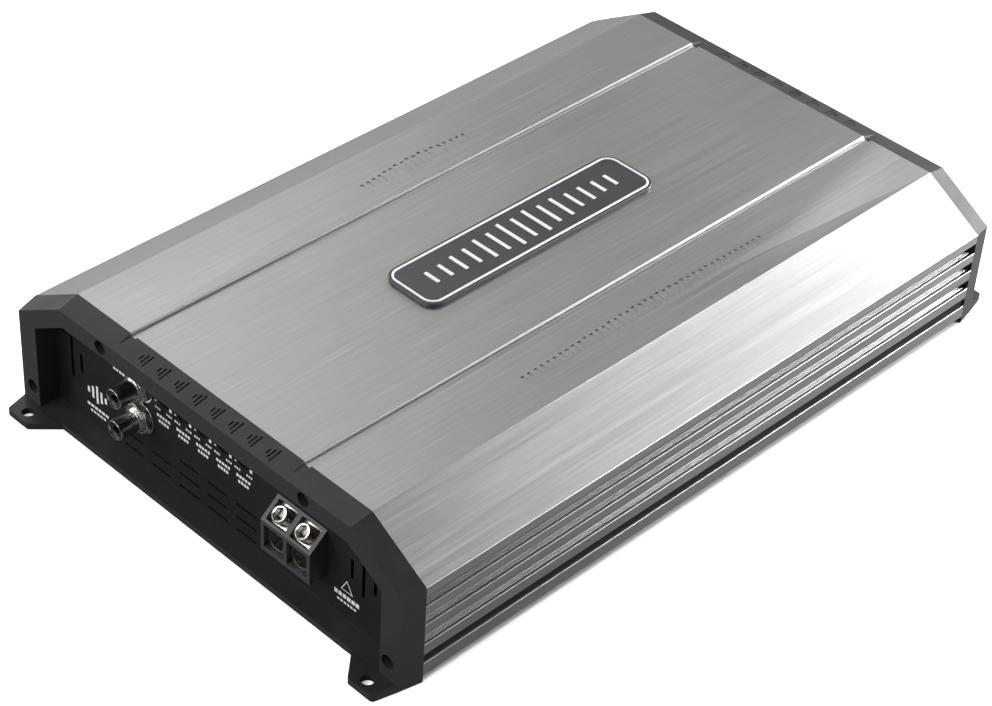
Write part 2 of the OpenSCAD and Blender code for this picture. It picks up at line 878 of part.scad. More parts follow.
// ---- parts on the main board ----
// Ring core at each place, given by its outer diameter, hole diameter and height
module ring_cores(ring, places) {
    for (place = places) translate([place[0], place[1], board_top + winding_t]) difference() {
        cylinder(h = ring[2], d = ring[0]);
        translate([0, 0, -1]) cylinder(h = ring[2] + 2, d = ring[1]);
    }
}

// Closed shell of wire round each core
module ring_windings(ring, places) {
    wall = (ring[0] - ring[1]) / 2;
    for (place = places) translate([place[0], place[1], board_top]) rotate_extrude() difference() {
        translate([ring[1] / 2 - winding_t, 0]) square([wall + 2 * winding_t, ring[2] + 2 * winding_t]);
        translate([ring[1] / 2, winding_t]) square([wall, ring[2]]);
    }
}

module transformer_cores() {
    color("dimgray") ring_cores(transformer_ring, transformer_places);
}

module transformer_windings() {
    color("peru") ring_windings(transformer_ring, transformer_places);
}

module choke_cores() {
    color("gold") ring_cores(choke_ring, choke_places);
}

module choke_windings() {
    color("peru") ring_windings(choke_ring, choke_places);
}

module capacitors() {
    color("midnightblue") for (p = capacitor_places)
        translate([p[0], p[1], board_top]) cylinder(h = capacitor_h, d = capacitor_d);
}

module transistor_places() {
    for (y = transistor_rows) both_sides() translate([cavity_half_w, y, 0]) children();
}

module power_transistors() {
    color([0.15, 0.15, 0.15]) transistor_places() {
        translate([-pad_sheet_t - transistor_t, -transistor_w / 2, transistor_z])
            cube([transistor_t, transistor_w, transistor_h]);
        for (leg = [-1:1]) translate([leg_x, leg * leg_pitch - leg_w / 2, board_top])
            cube([leg_w, leg_w, transistor_z - board_top + 0.5]);
    }
}

module transistor_pads() {
    color("lightgray") both_sides() difference() {
        translate([cavity_half_w - pad_sheet_t, -clamp_bar_len / 2, transistor_z - 1])
            cube([pad_sheet_t, clamp_bar_len, transistor_h + 2]);
        for (y = clamp_screw_rows)
            translate([cavity_half_w - 2, y, clamp_bar_z + clamp_bar_h / 2])
                rotate([0, 90, 0]) cylinder(h = 4, d = small_screw_d + hole_clearance);
    }
}

module clamp_bars() {
    x = cavity_half_w - pad_sheet_t - transistor_t - clamp_bar_t;
    color("silver") both_sides() difference() {
        translate([x, -clamp_bar_len / 2, clamp_bar_z])
            cube([clamp_bar_t, clamp_bar_len, clamp_bar_h]);
        for (y = clamp_screw_rows)
            translate([x - 1, y, clamp_bar_z + clamp_bar_h / 2])
                rotate([0, 90, 0]) cylinder(h = 8, d = small_screw_d + hole_clearance);
    }
}

module clamp_bar_screws() {
    x = cavity_half_w - pad_sheet_t - transistor_t - clamp_bar_t;
    color("silver") for (y = clamp_screw_rows) both_sides()
        translate([x, y, clamp_bar_z + clamp_bar_h / 2]) rotate([0, -90, 0])
            pan_screw(small_screw_d - 0.1, small_head_d, small_head_t, clamp_bar_screw_len);
}

heatsink();
channel_strips();
bottom_plate();
bottom_plate_screws();
front_end_cap();
rear_end_cap();
front_cap_screws();
rear_cap_screws();
front_panel();
rear_panel();
nameplate();
nameplate_rim();
nameplate_bars();
circuit_board();
board_standoffs();
board_screws();
control_board();
control_board_header();
potentiometer_bodies();
dial(0);  // gain_dial
dial(1);  // subsonic_dial
dial(2);  // low_pass_dial
dial(3);  // bass_boost_dial
dial(4);  // boost_frequency_dial
rca_housing();
rca_shells();
rca_insulators();
rca_contacts();
rca_nuts();
rca_washers();
speaker_terminal_block();
speaker_terminal_clamps();
speaker_screw(0);  // speaker_negative_screw
speaker_screw(1);  // speaker_positive_screw
speaker_pad(0);  // speaker_negative_pad
speaker_pad(1);  // speaker_positive_pad
power_terminal_block();
power_terminal_clamps();
power_screw(0);  // battery_screw
power_screw(1);  // remote_screw
power_screw(2);  // ground_screw
power_pad(0);  // battery_pad
power_pad(1);  // remote_pad
power_pad(2);  // ground_pad
remote_level_socket();
color("lime") panel_light(0);  // power_light
color("red") panel_light(1);  // protection_light
transformer_cores();
transformer_windings();
choke_cores();
choke_windings();
capacitors();
power_transistors();
transistor_pads();
clamp_bars();
clamp_bar_screws();
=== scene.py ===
import json
import math

import bmesh
import bpy
from mathutils import Matrix, Vector


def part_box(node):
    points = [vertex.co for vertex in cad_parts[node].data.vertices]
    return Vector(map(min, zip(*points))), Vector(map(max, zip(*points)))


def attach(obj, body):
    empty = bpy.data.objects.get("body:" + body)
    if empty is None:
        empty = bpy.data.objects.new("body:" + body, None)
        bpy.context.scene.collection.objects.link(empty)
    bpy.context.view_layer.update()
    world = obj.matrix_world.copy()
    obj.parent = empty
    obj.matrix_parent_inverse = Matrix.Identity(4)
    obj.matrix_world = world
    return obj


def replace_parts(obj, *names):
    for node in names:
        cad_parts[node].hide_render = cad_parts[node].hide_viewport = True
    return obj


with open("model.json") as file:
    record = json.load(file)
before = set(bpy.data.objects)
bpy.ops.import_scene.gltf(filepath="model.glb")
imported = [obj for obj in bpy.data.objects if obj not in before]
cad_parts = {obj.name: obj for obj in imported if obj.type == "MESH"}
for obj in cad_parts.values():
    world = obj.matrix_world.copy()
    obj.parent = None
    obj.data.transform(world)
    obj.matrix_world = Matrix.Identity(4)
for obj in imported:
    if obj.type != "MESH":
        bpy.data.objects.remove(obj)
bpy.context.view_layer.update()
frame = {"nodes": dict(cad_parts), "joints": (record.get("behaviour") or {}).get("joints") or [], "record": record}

MM = 0.001
RECORD = frame["record"]
MOUNTS = {m["name"]: m for m in RECORD["mounts"]}

# Ends of the extruded body, and the level of its flat top
BODY_LOW, BODY_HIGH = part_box("heatsink")
FRONT_SEAM = BODY_LOW.y
REAR_SEAM = BODY_HIGH.y
TOP_Z = BODY_HIGH.z

# Frame of the front end: y counts inwards from the seam, z up from the mounting surface
FRONT_END = Matrix.Translation((0, FRONT_SEAM, 0))

OUT_OF_FRONT = (0, -1, 0)
WELD_MM = 0.002     # corners closer than this are one corner
INK_MM = 0.02       # how far a printed mark stands proud of its panel


# ---------------------------------------------------------------- camera and studio

CAMERA_ANGLES = (42.773, 38.437, 3.731)     # azimuth, elevation and roll in degrees
CAMERA_PLACE = (0.5432, -0.5980, 0.6410)
LENS_MM = 94.91
SENSOR_MM = 36


def make_camera():
    """A long lens above the front right corner, turned a little about its own axis."""
    azimuth, elevation, roll = (math.radians(a) for a in CAMERA_ANGLES)
    back = Vector((math.sin(azimuth) * math.cos(elevation),
                   -math.cos(azimuth) * math.cos(elevation), math.sin(elevation)))
    right = Vector((math.cos(azimuth), math.sin(azimuth), 0))
    up = back.cross(right)
    rolled_right = right * math.cos(roll) + up * math.sin(roll)
    rolled_up = up * math.cos(roll) - right * math.sin(roll)
    data = bpy.data.cameras.new("camera")
    data.sensor_width = SENSOR_MM
    data.lens = LENS_MM
    camera = bpy.data.objects.new("camera", data)
    camera.matrix_world = Matrix((rolled_right, rolled_up, back)).transposed().to_4x4()
    camera.location = CAMERA_PLACE
    bpy.context.scene.collection.objects.link(camera)
    bpy.context.scene.camera = camera


def softbox(name, place, target, size, watts):
    """A rectangular soft light that faces its target and stays out of the camera's view."""
    data = bpy.data.lights.new(name, "AREA")
    data.shape = "RECTANGLE"
    data.size, data.size_y = size
    data.energy = watts
    lamp = bpy.data.objects.new(name, data)
    lamp.location = place
    lamp.visible_camera = False
    aim = Vector(target) - Vector(place)
    lamp.rotation_euler = aim.to_track_quat("-Z", "Y").to_euler()
    bpy.context.scene.collection.objects.link(lamp)
    return lamp


def linear(code):
    """An sRGB hex colour as linear light, opaque."""
    parts = [int(code[i:i + 2], 16) / 255 for i in (1, 3, 5)]
    return tuple(p / 12.92 if p <= 0.04045 else ((p + 0.055) / 1.055) ** 2.4
                 for p in parts) + (1.0,)


def add(tree, kind, links=None, **settings):
    """Adds one node, sets its sockets and properties by name, and links its inputs."""
    node = tree.nodes.new(kind)
    for name, value in settings.items():
        label = name.replace("_", " ").lower()
        socket = next((s for s in node.inputs if s.name.lower() == label), None)
        if hasattr(node, name):
            setattr(node, name, value)
        elif socket:
            socket.default_value = value
        else:
            raise KeyError(kind + " has no " + name)
    for name, socket in (links or {}).items():
        tree.links.new(socket, node.inputs[name])
    return node


def make_world():
    """A plain room: the camera sees white, reflections and fill light come from a dark one."""
    world = bpy.data.worlds.new("studio")
    world.use_nodes = True
    tree = world.node_tree
    tree.nodes.clear()
    path = add(tree, "ShaderNodeLightPath")
    room = add(tree, "ShaderNodeBackground", Color=linear("#0c0c0d"), Strength=1.0)
    white = add(tree, "ShaderNodeBackground", Color=(1, 1, 1, 1), Strength=1.0)
    mixed = add(tree, "ShaderNodeMixShader",
                {0: path.outputs["Is Camera Ray"], 1: room.outputs[0], 2: white.outputs[0]})
    add(tree, "ShaderNodeOutputWorld", {"Surface": mixed.outputs[0]})
    bpy.context.scene.world = world


def make_floor():
    """A plain pale floor to the camera, and a grey one to everything that it lights."""
    mesh = bpy.data.meshes.new("floor")
    reach = 4.0
    corners = [(x * reach, y * reach, 0) for x, y in ((-1, -1), (1, -1), (1, 1), (-1, 1))]
    mesh.from_pydata(corners, [], [(0, 1, 2, 3)])
    floor = bpy.data.objects.new("floor", mesh)
    bpy.context.scene.collection.objects.link(floor)
    material = bpy.data.materials.new("matt_paper")
    material.use_nodes = True
    tree = material.node_tree
    tree.nodes.clear()
    path = add(tree, "ShaderNodeLightPath")
    pale = add(tree, "ShaderNodeBsdfDiffuse", Color=linear("#fbfbfb"))
    dark = add(tree, "ShaderNodeBsdfDiffuse", Color=linear("#525252"))
    mixed = add(tree, "ShaderNodeMixShader",
                {0: path.outputs["Is Camera Ray"], 1: dark.outputs[0], 2: pale.outputs[0]})
    add(tree, "ShaderNodeOutputMaterial", {"Surface": mixed.outputs[0]})
    mesh.materials.append(material)
    return floor


def light_table(floor):
    """A wash that only the floor receives, so that the table stays even and pale."""
    table_only = bpy.data.collections.new("table_only")
    table_only.objects.link(floor)
    wash = softbox("table_wash", (-0.3, -0.3, 2.4), (-0.1, -0.1, 0), (3.2, 3.2), 110)
    wash.light_linking.receiver_collection = table_only


AMPLIFIER = (0, 0.02, 0.03)     # the point that the softboxes face
# Name, place and size in metres, watts
SOFTBOXES = (
    ("rear_key", (0.1, 2.3, 1.2), (1.0, 0.8), 60),
    ("rear_high", (-0.6, 2.6, 1.6), (1.2, 0.8), 6.5),
    ("left_low", (-2.0, 1.4, 0.6), (1.4, 0.8), 6),
    ("left_high", (-1.7, 0.7, 1.9), (1.4, 1.4), 11),
    ("left_strip", (-2.2, 0.3, 0.3), (1.4, 0.5), 5),
    ("front_left", (-1.6, -1.6, 0.9), (1.4, 1.2), 26),
    ("front_high", (-0.1, -1.8, 1.3), (1.2, 0.8), 18),
    ("front_strip", (0.4, -1.7, 0.25), (0.6, 0.15), 3),
    ("right_strip", (0.5, 0.55, 0.1), (0.4, 0.15), 9.6),
)

bpy.context.scene.view_settings.view_transform = "Standard"
make_camera()
make_world()
light_table(make_floor())
for name, place, size, watts in SOFTBOXES:
    softbox(name, place, AMPLIFIER, size, watts)


# ---------------------------------------------------------------- materials

def new_material(name):
    """An empty node material and its tree."""
    material = bpy.data.materials.new(name)
    material.use_nodes = True
    material.node_tree.nodes.clear()
    return material, material.node_tree


def finish_material(tree, shader):
    """Leads a shader to the surface output."""
    add(tree, "ShaderNodeOutputMaterial", {"Surface": shader.outputs[0]})


def place_of(tree, scale=(1, 1, 1)):
    """Object coordinates in metres, stretched by scale."""
    place = add(tree, "ShaderNodeTexCoord")
    return add(tree, "ShaderNodeMapping", {"Vector": place.outputs["Object"]}, Scale=scale)


def brushed_aluminium():
    """Anodised aluminium, extruded and brushed lengthwise: fine streaks along the body that
    spread its reflections sideways, with a faint uneven sheen. The brush lines are drawn
    coarser than real ones, so that they show."""
    material, tree = new_material("anodised_aluminium_brushed")
    grain_mm, streak_mm, clouds_per_metre = 0.25, 60.0, 14.0
    across, along = 1 / (grain_mm * MM), 1 / (streak_mm * MM)
    fine = add(tree, "ShaderNodeTexNoise",
               {"Vector": place_of(tree, (across, along, across)).outputs[0]},
               Scale=1.0, Detail=3.0, Roughness=0.6)
    broad = add(tree, "ShaderNodeTexNoise",
                {"Vector": place_of(tree, (across / 6, along / 2, across / 6)).outputs[0]},
                Scale=1.0, Detail=2.0, Roughness=0.5)
    cloud = add(tree, "ShaderNodeTexNoise", {"Vector": place_of(tree).outputs[0]},
                Scale=clouds_per_metre, Detail=2.0)
    scratches = add(tree, "ShaderNodeTexNoise",
                    {"Vector": place_of(tree, (across / 3, along * 2, across / 3)).outputs[0]},
                    Scale=1.0, Detail=1.0)
    streaks = add(tree, "ShaderNodeMath", {0: fine.outputs["Fac"], 1: broad.outputs["Fac"]},
                  operation="ADD")
    level = add(tree, "ShaderNodeMapRange", {"Value": streaks.outputs[0]},
                from_min=0.6, from_max=1.4)
    tone = add(tree, "ShaderNodeValToRGB", {"Fac": level.outputs[0]})
    tone.color_ramp.elements[0].color = linear("#a9a9a8")
    tone.color_ramp.elements[1].color = linear("#b9b9b8")
    scratched = add(tree, "ShaderNodeMapRange", {"Value": scratches.outputs["Fac"]},
                    from_min=0.57, from_max=0.72, to_max=0.25)
    toned = add(tree, "ShaderNodeMix", {0: scratched.outputs[0], 6: tone.outputs[0]},
                data_type="RGBA")
    toned.inputs[7].default_value = linear("#d2d2d1")
    rough = add(tree, "ShaderNodeMapRange", {"Value": streaks.outputs[0]},
                from_min=0.5, from_max=1.5, to_min=0.34, to_max=0.42)
    uneven = add(tree, "ShaderNodeMapRange", {"Value": cloud.outputs["Fac"]}, to_max=0.06)
    total = add(tree, "ShaderNodeMath", {0: rough.outputs[0], 1: uneven.outputs[0]},
                operation="ADD")
    bump = add(tree, "ShaderNodeBump", {"Height": streaks.outputs[0]}, strength=0.08,
               distance=0.02 * MM)
    shader = add(tree, "ShaderNodeBsdfPrincipled",
                 {"Base Color": toned.outputs[2], "Roughness": total.outputs[0],
                  "Normal": bump.outputs[0]}, Metallic=1.0)
    finish_material(tree, shader)
    return material


def grained(name, dark, light, rough_low, rough_high, grain_mm, depth_mm, metallic=0.0, **extra):
    """A surface with fine even grain: two tones, an uneven sheen and a shallow bump."""
    patch_mm = 12
    material, tree = new_material(name)
    grain = add(tree, "ShaderNodeTexNoise", {"Vector": place_of(tree).outputs[0]},
                Scale=1 / (grain_mm * MM), Detail=3.0, Roughness=0.6)
    patch = add(tree, "ShaderNodeTexNoise", {"Vector": place_of(tree).outputs[0]},
                Scale=1 / (patch_mm * MM), Detail=2.0)
    tone = add(tree, "ShaderNodeValToRGB", {"Fac": grain.outputs["Fac"]})
    tone.color_ramp.elements[0].position = 0.3
    tone.color_ramp.elements[0].color = linear(dark)
    tone.color_ramp.elements[1].position = 0.7
    tone.color_ramp.elements[1].color = linear(light)
    rough = add(tree, "ShaderNodeMapRange", {"Value": patch.outputs["Fac"]},
                from_min=0.3, from_max=0.7, to_min=rough_low, to_max=rough_high)
    bump = add(tree, "ShaderNodeBump", {"Height": grain.outputs["Fac"]}, strength=0.6,
               distance=depth_mm * MM)
    shader = add(tree, "ShaderNodeBsdfPrincipled",
                 {"Base Color": tone.outputs[0], "Roughness": rough.outputs[0],
                  "Normal": bump.outputs[0]}, Metallic=metallic, **extra)
    finish_material(tree, shader)
    return material


ALUMINIUM = brushed_aluminium()
# Glass-filled nylon, moulded against a spark-eroded tool: fine black texture, dull sheen
CAP_NYLON = grained("nylon_textured_black", "#2b2b2c", "#343436", 0.42, 0.52, 0.35, 0.03)
# Steel sheet, powder coated: fine orange peel, matt black
POWDER_COAT = grained("steel_powder_coated_black", "#0e0e0f", "#141416", 0.48, 0.6, 0.6, 0.02)
# Screw steel, black passivated: thin dark film that lets a metal glint through
BLACK_STEEL = grained("steel_black_passivated", "#343436", "#444446", 0.35, 0.5, 0.4, 0.01, 0.7)
# Brass, nickel plated and polished: bright, faintly warm
NICKEL = grained("brass_nickel_plated", "#bfbcb7", "#cecbc6", 0.2, 0.3, 0.5, 0.004, 1.0)
# Steel, zinc plated: bright grey with a clouded film
ZINC = grained("steel_zinc_plated", "#a9abad", "#bfc1c2", 0.28, 0.4, 0.8, 0.006, 1.0)
# Copper alloy contact, gold flashed: bright yellow metal
GOLD = grained("contact_gold_flashed", "#d9b25e", "#e2bd6c", 0.2, 0.28, 0.4, 0.004, 1.0)
# PBT polyester with glass fibre, moulded: grey-black, slightly satin
TERMINAL_PBT = grained("pbt_moulded_grey", "#3c3c3d", "#454547", 0.38, 0.48, 0.3, 0.015)
# ABS, moulded black: smooth satin
ABS_BLACK = grained("abs_moulded_black", "#141415", "#1b1b1c", 0.35, 0.45, 0.4, 0.01)
# ABS, moulded grey: smooth satin
ABS_GREY = grained("abs_moulded_grey", "#565657", "#606062", 0.4, 0.5, 0.4, 0.01)
# Acrylic badge, hot stamped charcoal: smooth, satin
BADGE_FACE = grained("acrylic_charcoal", "#444447", "#4b4b4e", 0.3, 0.36, 0.5, 0.003)
# Foil, hot stamped on the badge: silver white
BADGE_FOIL = grained("foil_silver_white", "#f2f2f2", "#ffffff", 0.25, 0.35, 0.6, 0.002)
# Epoxy ink, screen printed: flat, even white
INK_WHITE = grained("ink_screen_printed_white", "#ececee", "#f8f8f9", 0.5, 0.6, 0.2, 0.002)
# Glass epoxy board under solder mask: glossy green
BOARD = grained("epoxy_board_green", "#0d4a24", "#14592c", 0.3, 0.4, 0.8, 0.01)
# Ferrite, sintered and ground: dull charcoal, slightly porous
FERRITE = grained("ferrite_sintered", "#2c2c2e", "#3a3a3c", 0.55, 0.7, 0.3, 0.02)
# Iron powder core, dipped in epoxy: satin yellow
IRON_POWDER = grained("iron_powder_core_coated", "#b79a2c", "#c9ab36", 0.45, 0.55, 0.5, 0.02)
# Copper wire, enamelled: reddish gloss
ENAMELLED_COPPER = grained("copper_wire_enamelled", "#9a4f26", "#b06030", 0.22, 0.3, 0.5, 0.01, 1.0)
# PVC sleeve, shrunk on: smooth dark blue gloss
SLEEVE = grained("pvc_shrink_sleeve", "#0f1330", "#171c3e", 0.25, 0.33, 0.6, 0.006)
# Painted shade: a dull black strip with a faint bloom, drawn as extruded PAINTED_SHADE_STRIP rubber, that stands
# in for the shade in the lower side channels
PAINTED_SHADE_STRIP = grained("black_strip_painted_shade", "#0a0a0a", "#101010", 0.7, 0.82, 0.5, 0.02,
               specular_ior_level=0.15)
# Silicone rubber sheet, filled: chalky grey
SILICONE = grained("silicone_sheet_grey", "#8d8f8f", "#9a9c9c", 0.6, 0.7, 0.5, 0.02)


def tinted_lens(name, code):
    """Acrylic light pipe, tinted and polished: clear gloss with faint swirls."""
    swirl_mm = 1.5
    material, tree = new_material(name)
    swirl = add(tree, "ShaderNodeTexNoise", {"Vector": place_of(tree).outputs[0]},
                Scale=1 / (swirl_mm * MM), Detail=2.0)
    rough = add(tree, "ShaderNodeMapRange", {"Value": swirl.outputs["Fac"]},
                to_min=0.08, to_max=0.2)
    shader = add(tree, "ShaderNodeBsdfPrincipled", {"Roughness": rough.outputs[0]},
                 base_color=linear(code), transmission_weight=0.35)
    finish_material(tree, shader)
    return material


GREEN_LENS = tinted_lens("acrylic_lens_green", "#2fbf4c")
RED_LENS = tinted_lens("acrylic_lens_red", "#b3262a")

# The seal slot takes the dull black strip of painted shade in the lower side channels
FINISHES = {
    "heatsink": ALUMINIUM, "cap_plastic": CAP_NYLON, "panel": POWDER_COAT,
    "black_steel": BLACK_STEEL, "steel": ZINC, "nickel": NICKEL, "gold": GOLD,
    "terminal_plastic": TERMINAL_PBT, "black_plastic": ABS_BLACK, "grey_plastic": ABS_GREY,
    "badge_face": BADGE_FACE, "badge_white": BADGE_FOIL, "board": BOARD, "ferrite": FERRITE,
    "iron_powder": IRON_POWDER, "copper": ENAMELLED_COPPER, "sleeve": SLEEVE,
    "seal": PAINTED_SHADE_STRIP, "insulator": SILICONE, "green_light": GREEN_LENS, "red_light": RED_LENS,
}
SLOT_OF = {row["node"]: row["material_slot"] for row in RECORD["subparts"]}


# ---------------------------------------------------------------- mesh helpers

def body_of(node):
    """The body that a CAD node belongs to."""
    return next(body for body, nodes in RECORD["behaviour"]["bodies"].items() if node in nodes)


def make_piece(name, mesh, node, material=None):
    """Links a finished mesh as a piece that rides with a CAD node's body."""
    piece = bpy.data.objects.new(name, mesh)
    bpy.context.scene.collection.objects.link(piece)
    mesh.materials.clear()
    mesh.materials.append(material or FINISHES[SLOT_OF[node]])
    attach(piece, body_of(node))
    return piece


def finished(name, form, node, material=None, crease=30):
    """Turns a built form into a smooth-shaded piece whose edges stay crisp."""
    bmesh.ops.recalc_face_normals(form, faces=form.faces)
    for face in form.faces:
        face.smooth = True
    mesh = bpy.data.meshes.new(name)
    form.to_mesh(mesh)
    form.free()
    mesh.set_sharp_from_angle(angle=math.radians(crease))
    return make_piece(name, mesh, node, material)


def replace_node(node, form, crease=30):
    """Puts a built form in a CAD node's place."""
    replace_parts(finished(node + "_finished", form, node, crease=crease), node)


def with_modifiers(mesh, modifiers):
    """The mesh after a list of (kind, settings) modifiers."""
    carrier = bpy.data.objects.new("carrier", mesh)
    bpy.context.scene.collection.objects.link(carrier)
    for kind, settings in modifiers:
        modifier = carrier.modifiers.new(kind.lower(), kind)
        for key, value in settings.items():
            setattr(modifier, key, value)
    graph = bpy.context.evaluated_depsgraph_get()
    result = bpy.data.meshes.new_from_object(carrier.evaluated_get(graph))
    bpy.data.objects.remove(carrier)
    return result


def welded_form(node):
    """A CAD node's mesh with its corners joined."""
    form = bmesh.new()
    form.from_mesh(frame["nodes"][node].data)
    bmesh.ops.remove_doubles(form, verts=form.verts, dist=WELD_MM * MM)
    return form


def clean_form(node):
    """A CAD node's mesh with its flat faces made whole."""
    form = welded_form(node)
    bmesh.ops.dissolve_limit(form, angle_limit=math.radians(0.5), verts=form.verts,
                             edges=form.edges)
    return form


def softened(node, width_mm, wanted=None):
    """Replaces a CAD node by the same shape with its hard edges broken by a small radius, or
    only those edges that the wanted function picks."""
    hard_edge = math.radians(24)
    form = clean_form(node)
    for face in form.faces:
        face.smooth = True
    weight = form.edges.layers.float.new("bevel_weight_edge")
    for edge in form.edges:
        bent = edge.is_manifold and edge.calc_face_angle() > hard_edge
        edge[weight] = float(bent and (wanted is None or wanted(edge)))
        edge.smooth = not bent
    mesh = bpy.data.meshes.new(node + "_softened")
    form.to_mesh(mesh)
    form.free()
    mesh = with_modifiers(mesh, [
        ("BEVEL", {"width": width_mm * MM, "segments": 2, "limit_method": "WEIGHT",
                   "miter_outer": "MITER_ARC"}),
        ("WEIGHTED_NORMAL", {"keep_sharp": True}),
    ])
    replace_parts(make_piece(node + "_finished", mesh, node), node)


def runs_lengthwise(edge):
    """True for the long edges of the extrusion, apart from its finest teeth."""
    whole_length, tooth_mm = 0.9 * (REAR_SEAM - FRONT_SEAM), 0.6
    span = edge.verts[0].co - edge.verts[1].co
    if abs(span.y) < whole_length:
        return False
    return all(face.calc_area() / span.length > tooth_mm * MM for face in edge.link_faces)


def outside_sunk_bars(edge):
    """True for the edges of an end cap that don't belong to the small bars in its top."""
    bars_depth, bars_reach, longest_bar = 2.8 * MM, 42 * MM, 8 * MM
    middle = (edge.verts[0].co + edge.verts[1].co) / 2
    near_top = middle.z > TOP_Z - bars_depth and abs(middle.x) < bars_reach
    return not (near_top and edge.calc_length() < longest_bar)


def facing(place, axis, spin=0.0):
    """A frame at a point whose Z runs along the axis."""
    turn = Vector(axis).to_track_quat("Z", "Y").to_matrix().to_4x4()
    return Matrix.Translation(place) @ turn @ Matrix.Rotation(spin, 4, "Z")


def skin(form, rings, sides, place, closed=False):
    """Skins a stack of rings about the frame's Z, in millimetres. A ring is a radius and a
    height, or a function that gives them for an angle."""
    loops = []
    for ring in rings:
        loop = []
        for i in range(sides):
            angle = 2 * math.pi * i / sides
            radius, height = ring(angle) if callable(ring) else ring
            point = Vector((radius * math.cos(angle), radius * math.sin(angle), height))
            loop.append(form.verts.new(place @ (point * MM)))
        loops.append(loop)
    pairs = list(zip(loops, loops[1:])) + ([(loops[-1], loops[0])] if closed else [])
    for low, high in pairs:
        for i in range(sides):
            j = (i + 1) % sides
            form.faces.new((low[i], low[j], high[j], high[i]))
    if not closed:
        form.faces.new(list(reversed(loops[0])))
        form.faces.new(loops[-1])


def hexagon(across_flats):
    """Radius of a hexagon at an angle."""
    def radius(angle):
        return across_flats / 2 / math.cos((angle + math.pi / 6) % (math.pi / 3) - math.pi / 6)
    return radius


def thread(radius, depth, pitch, start, end, steps=8):
    """Rings of a screw thread between two heights: the groove climbs one pitch a turn."""
    count = int(abs(end - start) / pitch * steps)
    rings = []
    for k in range(count + 1):
        height = start + (end - start) * k / count
        def ring(angle, height=height):
            wave = abs(2 * ((height / pitch - angle / (2 * math.pi)) % 1) - 1)
            return radius - depth * min(1, max(0, 1.5 * wave - 0.25)), height
        rings.append(ring)
    return rings


def solid_boxes(node):
    """Lowest and highest corner of each loose solid of a CAD node, sorted by place."""
    form = welded_form(node)
    seen, found = set(), []
    for vert in form.verts:
        if vert in seen:
            continue
        stack, group = [vert], []
        seen.add(vert)
        while stack:
            here = stack.pop()
            group.append(here.co.copy())
            for edge in here.link_edges:
                other = edge.other_vert(here)
                if other not in seen:
                    seen.add(other)
                    stack.append(other)
        low = Vector([min(p[k] for p in group) for k in range(3)])
        high = Vector([max(p[k] for p in group) for k in range(3)])
        found.append((low, high))
    form.free()
    return sorted(found, key=lambda box: tuple(round(v, 5) for v in box[0]))


def join_copies(form, mesh, places):
    """Adds a copy of a mesh to the form at each place."""
    for place in places:
        copy = mesh.copy()
        copy.transform(place)
        form.from_mesh(copy)
        bpy.data.meshes.remove(copy)


def mesh_of(form, name):
    """The form as a mesh whose faces point outwards."""
    bmesh.ops.recalc_face_normals(form, faces=form.faces)
    mesh = bpy.data.meshes.new(name)
    form.to_mesh(mesh)
    form.free()
    return mesh


# ---------------------------------------------------------------- screws

def wedge_cross(width, reach, depth):
    """Cutter for a cross recess: two tapered blades that meet on the axis."""
    form = bmesh.new()
    above = 0.4
    ends = ((above, reach, width / 2), (-depth, reach * 0.35, width * 0.3))
    for turn in (0, math.pi / 2):
        corners = []
        for height, half, thick in ends:
            for x, y in ((-1, -1), (1, -1), (1, 1), (-1, 1)):
                point = Vector((x * half, y * thick, height)) * MM
                corners.append(form.verts.new(Matrix.Rotation(turn, 3, "Z") @ point))
        low, high = corners[4:], corners[:4]
        form.faces.new(low[::-1])
        form.faces.new(high)
        for i in range(4):
            j = (i + 1) % 4
            form.faces.new((low[i], low[j], high[j], high[i]))
    return mesh_of(form, "cross_cutter")


def cut(mesh, cutter_mesh):
    """The mesh with a cutter's shape taken out of it."""
    cutter = bpy.data.objects.new("cutter", cutter_mesh)
    bpy.context.scene.collection.objects.link(cutter)
    result = with_modifiers(mesh, [("BOOLEAN", {"operation": "DIFFERENCE", "solver": "EXACT",
                                                "use_self": True, "object": cutter})])
    bpy.data.objects.remove(cutter)
    return result


def pan_head_screw(shank, head, rise, length):
    """A pan head screw with a domed, rolled edge, a cross recess and a rolled thread, standing
    on its head's seat at height 0."""
    form = bmesh.new()
    edge = head / 2
    rings = [(shank * 0.25, -length), (shank * 0.42, -length + 0.5)]
    rings += thread(shank / 2, shank * 0.09, 1.0, -length + 0.6, -0.5, 6)
    rings += [(shank * 0.46, -0.2), (shank * 0.46, 0), (edge * 0.97, 0), (edge, 0.12),
              (edge, rise * 0.45), (edge * 0.985, rise * 0.6), (edge * 0.93, rise * 0.76),
              (edge * 0.82, rise * 0.88), (edge * 0.62, rise * 0.96), (edge * 0.3, rise)]
    skin(form, rings, 40, Matrix.Identity(4))
    body = mesh_of(form, "pan_head_screw")
    blades = wedge_cross(0.85, head * 0.29, rise * 0.62)
    blades.transform(Matrix.Translation((0, 0, rise * MM)))
    return cut(body, blades)


def replace_screws(node, axis, shank, head, rise, length):
    """Stands a detailed screw in each CAD screw's place. The axis points out of the head."""
    screw = pan_head_screw(shank, head, rise, length)
    axis = Vector(axis)
    form = bmesh.new()
    places = []
    for i, (low, high) in enumerate(solid_boxes(node)):
        middle = (low + high) / 2
        top = high if sum(axis) > 0 else low
        seat = Vector([top[k] if abs(axis[k]) > 0.5 else middle[k] for k in range(3)])
        seat -= axis * rise * MM
        places.append(facing(seat, axis, spin=0.7 + 1.3 * i))
    join_copies(form, screw, places)
    replace_node(node, form)


